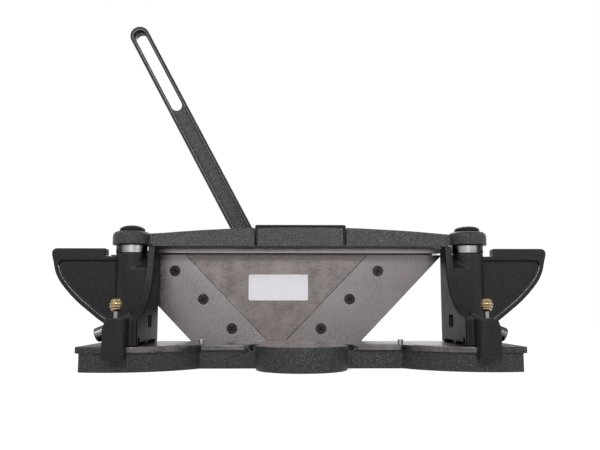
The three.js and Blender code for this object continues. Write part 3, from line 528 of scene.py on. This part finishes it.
# Carriage plate: a thick ground steel plate that carries both knives and slides in the
# way and the rail. The face between the knives has faint arcs from the grinding wheel.
# A steel roller on a pin at its rear takes the push of the lever.
plate_edge = 0.0003
plate_dark = (0.1, 0.088, 0.084, 1)
plate_light = (0.225, 0.2, 0.194, 1)
plate_lines = (260, 260, 900)
plate_turn = (0, radians(14), 0)
scratch_lines = (70, 70, 900)
scratch_turn = (0, radians(-12), 0)
arc_scale = 110.0
arc_centre = (-0.06, 0, -0.19)
ground_depth = 0.00002
plate_steel, tree, shader = new_material("plate_steel", 1.0)
where = add(tree, "TexCoord")
arcs = add(
    tree,
    "TexWave",
    {"Scale": arc_scale, "Distortion": 3.0, "Detail": 4.0, "Detail Scale": 3.0, "Detail Roughness": 0.7},
    wave_type="RINGS",
    rings_direction="Y",
)
arc_place = add(tree, "Mapping", {"Location": arc_centre})
arc_tone = add(tree, "MapRange", {"To Min": 0.93, "To Max": 1.07})
scratch = add(tree, "TexNoise", {"Scale": 1.0, "Detail": 3.0, "Roughness": 0.6})
scratch_place = add(tree, "Mapping", {"Scale": scratch_lines, "Rotation": scratch_turn})
scratch_tone = add(tree, "MapRange", {"From Min": 0.62, "From Max": 0.76, "To Min": 1.0, "To Max": 1.7})
grain = marked(tree, plate_dark, plate_light, plate_lines, cloud_scale=45.0, turn=plate_turn)
both = add(tree, "Math", operation="MULTIPLY")
toned = add(tree, "VectorMath", operation="SCALE")
wire(
    tree,
    (where.outputs["Object"], arc_place.inputs["Vector"]),
    (where.outputs["Object"], scratch_place.inputs["Vector"]),
    (arc_place.outputs[0], arcs.inputs["Vector"]),
    (scratch_place.outputs[0], scratch.inputs["Vector"]),
    (arcs.outputs["Fac"], arc_tone.inputs["Value"]),
    (scratch.outputs[0], scratch_tone.inputs["Value"]),
    (arc_tone.outputs[0], both.inputs[0]),
    (scratch_tone.outputs[0], both.inputs[1]),
    (grain.outputs["Color"], toned.inputs[0]),
    (both.outputs[0], toned.inputs["Scale"]),
    (toned.outputs[0], shader.inputs["Base Color"]),
    (grain.outputs["Roughness"], shader.inputs["Roughness"]),
)
relief(tree, shader, grain.outputs["Height"], ground_depth)
eased_piece("carriage_plate", plate_edge, plate_steel, "carriage", steps=1)
coated("drive_pin", machined_steel)
coated("drive_roller", machined_steel)

# Label plate: a thin white enamelled plate, blank, with rounded corners. It is stuck on
# the carriage plate.
label_corner = 0.002
label_corner_steps = 5
shortest_corner = 0.0003
label_dark = (0.7, 0.68, 0.74, 1)
label_light = (0.78, 0.76, 0.81, 1)
enamel_depth = 0.00002
white_plate, tree, shader = new_material("white_plate", 0.0)
where = add(tree, "TexCoord")
dust = add(tree, "TexNoise", {"Scale": 70.0, "Detail": 6.0})
white = add(tree, "Mix", {"A": label_dark, "B": label_light}, data_type="RGBA")
gloss = add(tree, "MapRange", {"To Min": 0.25, "To Max": 0.45})
wire(
    tree,
    (where.outputs["Object"], dust.inputs["Vector"]),
    (dust.outputs[0], white.inputs["Factor"]),
    (dust.outputs[0], gloss.inputs["Value"]),
    (white.outputs["Result"], shader.inputs["Base Color"]),
    (gloss.outputs[0], shader.inputs["Roughness"]),
)
relief(tree, shader, dust.outputs[0], enamel_depth)
label = solid_copy("label_plate")
bmesh.ops.bevel(
    label,
    geom=[e for e in label.edges if abs((e.verts[0].co - e.verts[1].co).y) > shortest_corner],
    offset=label_corner,
    affect="EDGES",
    segments=label_corner_steps,
    profile=0.5,
    material=-1,
)
finished("label_plate", label, [white_plate], "carriage")

# Knives: two ground tool-steel blades, bevelled at the back of their sloping outer edges
# and held to the carriage plate by three countersunk screws each.
knife_rounding = 0.00015
knife_lines = (500, 200, 200)
knife_slope = 46
# The left blade has lighter tones than the right: painted light on one of two like blades
knife_lit_and_shaded_tones = {
    "left": ((0.175, 0.16, 0.166, 1), (0.262, 0.244, 0.249, 1)),
    "right": ((0.155, 0.14, 0.142, 1), (0.225, 0.205, 0.207, 1)),
}
for hand, side in hands.items():
    knife_steel = machined(
        f"{hand}_knife_steel",
        *knife_lit_and_shaded_tones[hand],
        knife_lines,
        cloud_scale=9.0,
        depth=0.000003,
        turn=(0, radians(-side * knife_slope), 0),
    )
    eased_piece(f"{hand}_knife", knife_rounding, knife_steel, "carriage", steps=1)

# Knife screws: flat heads in black oxide, each with a cross recess for the driver. They
# stand as they were tightened, each turned its own way. Their recesses are painted near black, as painted
# shade.
recess_half_width = 0.00065
recess_reach = 0.0034
recess_depth = 0.0014
recess_taper = 0.7
recess_slack = 1.1
recess_dark = (0.002, 0.002, 0.002, 1)
recess_light = (0.03, 0.02, 0.018, 1)
recess_grain = (500, 500, 500)
screw_shank_radius = 0.003
screw_sides = 32
screw_turns = {"top": 20, "middle": 65, "bottom": 40}
recess_shade = machined(
    "recess_shade", recess_dark, recess_light, recess_grain, cloud_scale=300.0, depth=0.00001
)


def drawn_out(mesh, faces, rise, context):
    """Pulls some faces of a mesh along z, and gives back the points that moved."""
    drawn = bmesh.ops.extrude_face_region(mesh, geom=faces)
    bmesh.ops.delete(mesh, geom=faces, context=context)
    moved = [v for v in drawn["geom"] if isinstance(v, bmesh.types.BMVert)]
    bmesh.ops.translate(mesh, verts=moved, vec=(0, 0, rise))
    return moved


for hand in hands:
    for row, turn in screw_turns.items():
        node = f"{hand}_knife_screw_{row}"
        low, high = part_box(node)
        head_radius = (high.x - low.x) / 2
        countersink = head_radius - screw_shank_radius
        screw = bmesh.new()
        bmesh.ops.create_cone(
            screw,
            cap_ends=True,
            segments=screw_sides,
            radius1=head_radius,
            radius2=screw_shank_radius,
            depth=countersink,
        )
        bmesh.ops.translate(screw, verts=screw.verts, vec=(0, 0, countersink / 2))
        rear = max(screw.faces, key=lambda f: f.calc_center_median().z)
        drawn_out(screw, [rear], high.y - low.y - countersink, "FACES_ONLY")
        for axis in ((1, 0, 0), (0, 1, 0)):
            for distance in (recess_half_width, -recess_half_width, recess_reach, -recess_reach):
                scored(screw, Vector(axis) * distance, axis)
        cross = []
        for face in screw.faces:
            centre = face.calc_center_median()
            narrow, wide = sorted((abs(centre.x), abs(centre.y)))
            if face.normal.z < -squarely and narrow < recess_half_width and wide < recess_reach:
                cross.append(face)
        sunk = drawn_out(screw, cross, recess_depth, "FACES")
        bmesh.ops.scale(screw, verts=sunk, vec=(recess_taper, recess_taper, 1))
        # The faces in and round the recess take the near-black finish: painted shade
        for face in screw.faces:
            in_reach = all(hypot(v.co.x, v.co.y) < recess_reach * recess_slack for v in face.verts)
            in_depth = face.calc_center_median().z < recess_depth * recess_slack
            face.material_index = int(in_reach and in_depth)
        bmesh.ops.recalc_face_normals(screw, faces=screw.faces)
        stand = Matrix.Rotation(radians(-90), 4, "X") @ Matrix.Rotation(radians(turn), 4, "Z")
        bmesh.ops.transform(screw, matrix=stand, verts=screw.verts)
        at = Vector(((low.x + high.x) / 2, low.y, (low.z + high.z) / 2))
        bmesh.ops.translate(screw, verts=screw.verts, vec=at)
        finished(node, screw, [black_oxide, recess_shade], "carriage")

# Lever: a long casting with a channel in each face and an open loop at its end. Its
# hidden lower head holds the curved slot that drives the carriage, and turns on a bronze
# bush about a bolt in the base.
lever_edge = 0.0009
channel_depth = 0.0075
channel_edge = 0.0002
highlight_from = 0.15
pivot_edge = 0.0004
edge_highlight_dark = (0.3, 0.3, 0.305, 1)
edge_highlight_light = (0.6, 0.6, 0.605, 1)
bronze_dark = (0.2, 0.11, 0.045, 1)
bronze_light = (0.4, 0.25, 0.11, 1)
# A pale copy of the satin paint for the bevels along the lever's outer edges: a painted highlight
edge_highlight_paint = painted(
    "edge_highlight_paint", edge_highlight_dark, edge_highlight_light, bead_scale=800.0, flecks=0.8, depth=0.0001, specular=0.6
)
bronze = machined("bronze", bronze_dark, bronze_light, drawn_lines, cloud_scale=20.0, depth=0.000008)
low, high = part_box("lever")
lever = solid_copy("lever")
# The edges round the channels' floors are finer than those outside
channel_edges = {
    e
    for e in lever.edges
    if all(abs(min(v.co.y - low.y, high.y - v.co.y) - channel_depth) < channel_edge for v in e.verts)
}
eased(lever, lever_edge, steps=3, left_out=channel_edges)
eased(lever, channel_edge)
# The channels' floors take the hammered paint, and the bevels along the outer edges the pale painted
# highlight
for face in lever.faces:
    centre = face.calc_center_median()
    depth = min(centre.y - low.y, high.y - centre.y)
    if abs(face.normal.y) > squarely and abs(depth - channel_depth) < same_level:
        face.material_index = 1
    elif highlight_from < abs(face.normal.y) < squarely and depth < lever_edge:
        face.material_index = 2
finished("lever", lever, [satin_paint, hammered_paint, edge_highlight_paint], "lever_arm")
coated("lever_bush", bronze)
for node in ("lever_pivot_bolt", "lever_pivot_nut"):
    eased_piece(node, pivot_edge, black_oxide, "frame")
coated("lever_pivot_washer", machined_steel)

# Fences: iron castings that swing about the posts, each one piece of barrel, face arm,
# foot and wing. Their satin black paint is smoother than the hammered paint of the base.
# A pale tube along the bead that borders the wing's sunk panel is a painted highlight,
# and the arm's inner face has a darker, duller copy of the paint as painted shade.
fence_grain = 0.0009
fence_passes = 4
spring_bore = 0.0039
bore_wall_from = 0.85
bead_radius = 0.0006
bead_rounding = 2
bead_slant = 0.0005
wing_top = 0.128
wing_front = -0.029
panel_drop = 0.0136
panel_top = wing_top - panel_drop
panel_depth = 0.003
panel_corner = 0.0038
wall_facing = 0.1
on_plane = 0.0001
inner_shade_dark = (0.003, 0.003, 0.003, 1)
inner_shade_light = (0.022, 0.0215, 0.021, 1)
bead_highlight_dark = (0.05, 0.05, 0.05, 1)
bead_highlight_light = (0.4, 0.4, 0.4, 1)
# A darker, duller copy of the satin paint for the arm's inner face: painted shade
inner_shade_paint = painted(
    "inner_shade_paint", inner_shade_dark, inner_shade_light, bead_scale=800.0, flecks=0.2, depth=0.0003, specular=0.05
)
# A pale copy of the satin paint for the tube along the wing's bead: a painted highlight
bead_highlight_paint = painted(
    "bead_highlight_paint", bead_highlight_dark, bead_highlight_light, bead_scale=900.0, flecks=1.0, depth=0.00005, specular=0.6
)


def as_cast(node, grain, passes, soften=0.5):
    """The solid of a casting with all its corners and angles rounded, as a sand mould leaves them."""
    solid = solid_copy(node)
    data = bpy.data.meshes.new(f"{node}_mould")
    solid.to_mesh(data)
    mould = placed(f"{node}_mould", data)
    skin = mould.modifiers.new("skin", "REMESH")
    skin.mode = "VOXEL"
    skin.voxel_size = grain
    soft = mould.modifiers.new("soft", "SMOOTH")
    soft.factor = soften
    soft.iterations = passes
    solid.clear()
    solid.from_mesh(mould.evaluated_get(bpy.context.evaluated_depsgraph_get()).to_mesh())
    bpy.data.objects.remove(mould)
    return solid


for hand in hands:
    # The bead follows the sloping lower edge of the wing's panel; a pale tube along it is a painted highlight
    panel = solid_copy(f"{hand}_fence")
    panel_edge = set()
    for edge in panel.edges:
        on_front = all(abs(v.co.y - wing_front) < on_plane for v in edge.verts)
        below_corner = all(v.co.z < panel_top - panel_corner for v in edge.verts)
        slanted = abs(edge.verts[0].co.x - edge.verts[1].co.x) > bead_slant
        walls = [
            f
            for f in edge.link_faces
            if abs(f.normal.y) < wall_facing
            and max(v.co.y for v in f.verts) < wing_front + panel_depth + 2 * on_plane
        ]
        if on_front and below_corner and slanted and walls:
            panel_edge.update(tuple(v.co) for v in edge.verts)
    panel.free()
    path = bpy.data.curves.new(f"{hand}_wing_highlight_bead", "CURVE")
    path.dimensions = "3D"
    path.bevel_depth = bead_radius
    path.bevel_resolution = bead_rounding
    path.use_fill_caps = True
    spline = path.splines.new("POLY")
    spline.points.add(len(panel_edge) - 1)
    for point, corner in zip(spline.points, sorted(panel_edge)):
        point.co = (*corner, 1)
    path.materials.append(bead_highlight_paint)
    bead = placed(f"{hand}_wing_highlight_bead", path)
    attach(bead, f"{hand}_fence_body")

    # The mould's rounding narrows the bore for the spring, so its wall and roof are drilled true
    fence = as_cast(f"{hand}_fence", fence_grain, fence_passes)
    low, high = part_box(f"{hand}_index_spring")
    middle = (low + high) / 2
    cad_fence = nodes[f"{hand}_fence"].data.vertices
    over = [v.co for v in cad_fence if hypot(v.co.x - middle.x, v.co.y - middle.y) < spring_bore]
    roof = min(co.z for co in over if co.z > high.z)
    for vert in fence.verts:
        reach = hypot(vert.co.x - middle.x, vert.co.y - middle.y)
        in_bore = reach < spring_bore and low.z - spring_bore < vert.co.z < roof + fence_grain / 2
        if in_bore and reach > spring_bore * bore_wall_from:
            vert.co.x = middle.x + (vert.co.x - middle.x) * spring_bore / reach
            vert.co.y = middle.y + (vert.co.y - middle.y) * spring_bore / reach
        elif in_bore and vert.co.z > high.z - spring_bore / 2:
            vert.co.z = max(vert.co.z, roof)
    # The arm's inner face, nearest the middle, takes the darker copy of the paint: painted shade
    inner_side = min(abs(v.co.x) for v in fence.verts) + fence_grain
    for face in fence.faces:
        face.material_index = int(abs(face.calc_center_median().x) < inner_side)
    finished(f"{hand}_fence", fence, [satin_paint, inner_shade_paint], f"{hand}_fence_body")
    coated(f"{hand}_fence_lower_bush", bronze)
    coated(f"{hand}_fence_upper_bush", bronze)

# Index pins: slim turned pins, pulled up by a brass ball with grooves for the fingers and
# pushed down by a spring in the foot of the fence. The spring stays in its bore; in the
# machine it is pressed shorter from below as the pin rises, and here it keeps its length at rest.
ball_rows = 36
ball_share = 0.7
groove_count = 4
groove_depth = 0.0005
groove_margin = 0.12
brass_dark = (0.22, 0.155, 0.08, 1)
brass_light = (0.42, 0.32, 0.18, 1)
groove_shade_dark = (0.09, 0.062, 0.022, 1)
groove_shade_light = (0.17, 0.12, 0.05, 1)
brass_lines = (60, 60, 1500)
brass = machined("turned_brass", brass_dark, brass_light, brass_lines, cloud_scale=40.0, depth=0.00001)
brass_groove_shade = machined(
    "brass_groove_shade", groove_shade_dark, groove_shade_light, brass_lines, cloud_scale=40.0, depth=0.00001
)
for hand in hands:
    low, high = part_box(f"{hand}_pull_knob")
    axis = upright_axis(low, high)
    radius = (high.x - low.x) / 2
    profile = [(0, low.z)]
    for i in range(ball_rows + 1):
        share = i / ball_rows
        dip = max(0, cos(2 * pi * groove_count * share)) ** 2
        grooved = groove_margin < share < 1 - groove_margin
        girth = radius * sqrt(1 - ball_share * (2 * share - 1) ** 2)
        profile.append((girth - groove_depth * dip * grooved, low.z + share * (high.z - low.z)))
    profile.append((0, high.z))
    ball = lathe(profile, axis)
    # Faces down in the grooves take a darker brass: painted shade in the grooves
    for face in ball.faces:
        centre = face.calc_center_median()
        level = 2 * (centre.z - low.z) / (high.z - low.z) - 1
        girth = radius * sqrt(1 - ball_share * min(level**2, 1))
        face.material_index = hypot(centre.x - axis[0], centre.y - axis[1]) < girth - groove_depth / 2
    finished(f"{hand}_pull_knob", ball, [brass, brass_groove_shade], f"{hand}_plunger")
    coated(f"{hand}_index_pin", polished_steel)
    low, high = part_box(f"{hand}_index_spring")
    coil = solid_copy(f"{hand}_index_spring")
    spring = finished(
        f"{hand}_index_spring", coil, [machined_steel], f"{hand}_fence_body"
    )
    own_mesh(spring)

# Lock screws: steel screws with round heads, which clamp the fence through its arm. The
# heads are turned, and rolled with a diamond knurl; every other face of its teeth, in a checker, is painted
# near black as painted shade for the valleys.
knurl_count = 24
knurl_rows = 10
knurl_depth = 0.0008
knurl_flank = 0.7
knurl_crease = 12
knurl_grain = (400, 400, 400)
knurl_dark = (0.16, 0.157, 0.152, 1)
knurl_light = (0.42, 0.41, 0.4, 1)
valley_shade_dark = (0.004, 0.004, 0.004, 1)
valley_shade_light = (0.02, 0.019, 0.018, 1)
knob_chamfer = 0.0012
knob_neck = 0.0025
knob_neck_radius = 0.005
knob_radius = 0.0072
knob_length = 0.016
knob_start = -0.0037
knurled_steel = machined(
    "knurled_steel", knurl_dark, knurl_light, knurl_grain, cloud_scale=160.0, depth=0.00003
)
knurl_valley_shade = machined(
    "knurl_valley_shade", valley_shade_dark, valley_shade_light, knurl_grain, cloud_scale=160.0, depth=0.00003
)
joints = {joint["name"]: joint for joint in frame["joints"]}
for hand in hands:
    coated(f"{hand}_lock_screw", machined_steel)
    knob = bmesh.new()
    bmesh.ops.create_circle(knob, segments=2 * knurl_count, radius=knob_neck_radius, cap_ends=True)
    bmesh.ops.recalc_face_normals(knob, faces=knob.faces)
    loop = knob.edges[:]
    body_length = knob_length - knob_neck - 2 * knob_chamfer
    # Each stage of the head: its rise, its radius, and which of two rows of teeth it has, if any
    stages = [
        (knob_neck, knob_neck_radius, 0),
        (0, knob_radius - knob_chamfer, 0),
        (knob_chamfer, knob_radius, 1),
        *((body_length / knurl_rows, knob_radius, 1 + i % 2) for i in range(1, knurl_rows + 1)),
        (knob_chamfer, knob_radius - knob_chamfer, 0),
    ]
    height = 0.0
    for rise, wide, knurl in stages:
        height += rise
        drawn = bmesh.ops.extrude_edge_only(knob, edges=loop)["geom"]
        loop = [e for e in drawn if isinstance(e, bmesh.types.BMEdge)]
        for vert in {v for e in loop for v in e.verts}:
            turn = atan2(vert.co.y, vert.co.x)
            tooth = round(turn / pi * knurl_count) % 2
            deep = knurl_depth if knurl and tooth != knurl % 2 else 0
            vert.co = ((wide - deep) * cos(turn), (wide - deep) * sin(turn), height)
    bmesh.ops.contextual_create(knob, geom=loop)
    # Every other flank, in a checker, takes the near-black steel: painted shade for the valleys
    for face in knob.faces:
        centre = face.calc_center_median()
        row = int((centre.z - knob_neck - knob_chamfer) / body_length * knurl_rows)
        tooth = int((atan2(centre.y, centre.x) / pi + 1) * knurl_count)
        face.material_index = (row + tooth) % 2 if abs(face.normal.z) < knurl_flank else 0
    bmesh.ops.recalc_face_normals(knob, faces=knob.faces)
    axis = Vector(joints[f"{hand}_lock_turn"]["axis"]).normalized()
    at = Vector(joints[f"{hand}_lock_turn"]["pos_m"]) + axis * knob_start
    stand = Matrix.Translation(at) @ axis.to_track_quat("Z", "Y").to_matrix().to_4x4()
    bmesh.ops.transform(knob, matrix=stand, verts=knob.verts)
    heads = [knurled_steel, knurl_valley_shade]
    finished(f"{hand}_lock_knob", knob, heads, f"{hand}_lock", crease=knurl_crease)

# Floor: a pale sheet under the machine. It is white to the camera, also in reflections,
# and keeps the machine's shadow.
floor_size = 6.0
floor_tone = (0.9, 0.9, 0.9, 1)
floor_roughness = 0.9
floor_lift = 0.8
floor_glow = 1.13
plain_white = (1, 1, 1, 1)


def seen(tree):
    """1 where the camera sees a surface, also in a reflection or through glass, and 0 elsewhere."""
    rays = add(tree, "LightPath")
    directly = add(tree, "Math", operation="MAXIMUM")
    through = add(tree, "Math", operation="MAXIMUM")
    wire(
        tree,
        (rays.outputs["Is Camera Ray"], directly.inputs[0]),
        (rays.outputs["Is Glossy Ray"], directly.inputs[1]),
        (directly.outputs[0], through.inputs[0]),
        (rays.outputs["Is Transmission Ray"], through.inputs[1]),
    )
    return through.outputs[0]


floor_mesh = bmesh.new()
bmesh.ops.create_grid(floor_mesh, x_segments=1, y_segments=1, size=floor_size)
floor_data = bpy.data.meshes.new("floor")
floor_mesh.to_mesh(floor_data)
floor_mesh.free()
floor = placed("floor", floor_data)
floor_paint, tree, shader = new_material("floor_paint", 0.0)
shader.inputs["Base Color"].default_value = floor_tone
shader.inputs["Roughness"].default_value = floor_roughness
share = add(tree, "Math", {1: floor_lift}, operation="MULTIPLY")
glow = add(tree, "Emission", {"Color": plain_white, "Strength": floor_glow})
blend = add(tree, "MixShader")
wire(
    tree,
    (seen(tree), share.inputs[0]),
    (share.outputs[0], blend.inputs["Fac"]),
    (shader.outputs[0], blend.inputs[1]),
    (glow.outputs[0], blend.inputs[2]),
    (blend.outputs[0], tree.nodes["Material Output"].inputs["Surface"]),
)
floor_data.materials.append(floor_paint)

# World and lamps: a white surround to the camera and in reflections, and soft light from
# the front, both sides and the rear.
surround_light = 0.45
lamp_aim = Vector((0, 0, 0.1))
lamps = {
    "key_lamp": {"place": (-0.9, -1.0, 1.1), "size": 0.6, "power": 8.0},
    "front_lamp": {"place": (0.0, -1.6, 0.75), "size": 0.22, "power": 9.0},
    "fill_lamp": {"place": (1.1, -0.9, 0.6), "size": 0.5, "power": 4.0},
    "rear_lamp": {"place": (0.3, 1.1, 1.0), "size": 0.6, "power": 6.0},
}
world = bpy.data.worlds.new("studio")
world.use_nodes = True
bpy.context.scene.world = world
tree = world.node_tree
surround = tree.nodes["Background"]
surround.inputs["Color"].default_value = plain_white
surround.inputs["Strength"].default_value = surround_light
white_surround = add(tree, "Background", {"Color": plain_white, "Strength": 1.0})
blend = add(tree, "MixShader")
wire(
    tree,
    (seen(tree), blend.inputs["Fac"]),
    (surround.outputs[0], blend.inputs[1]),
    (white_surround.outputs[0], blend.inputs[2]),
    (blend.outputs[0], tree.nodes["World Output"].inputs["Surface"]),
)
for name, lamp in lamps.items():
    data = bpy.data.lights.new(name, "AREA")
    data.size = lamp["size"]
    data.energy = lamp["power"]
    light = placed(name, data)
    light.location = lamp["place"]
    light.rotation_euler = (lamp_aim - Vector(lamp["place"])).to_track_quat("-Z", "Y").to_euler()
bpy.context.scene.view_settings.view_transform = "Standard"
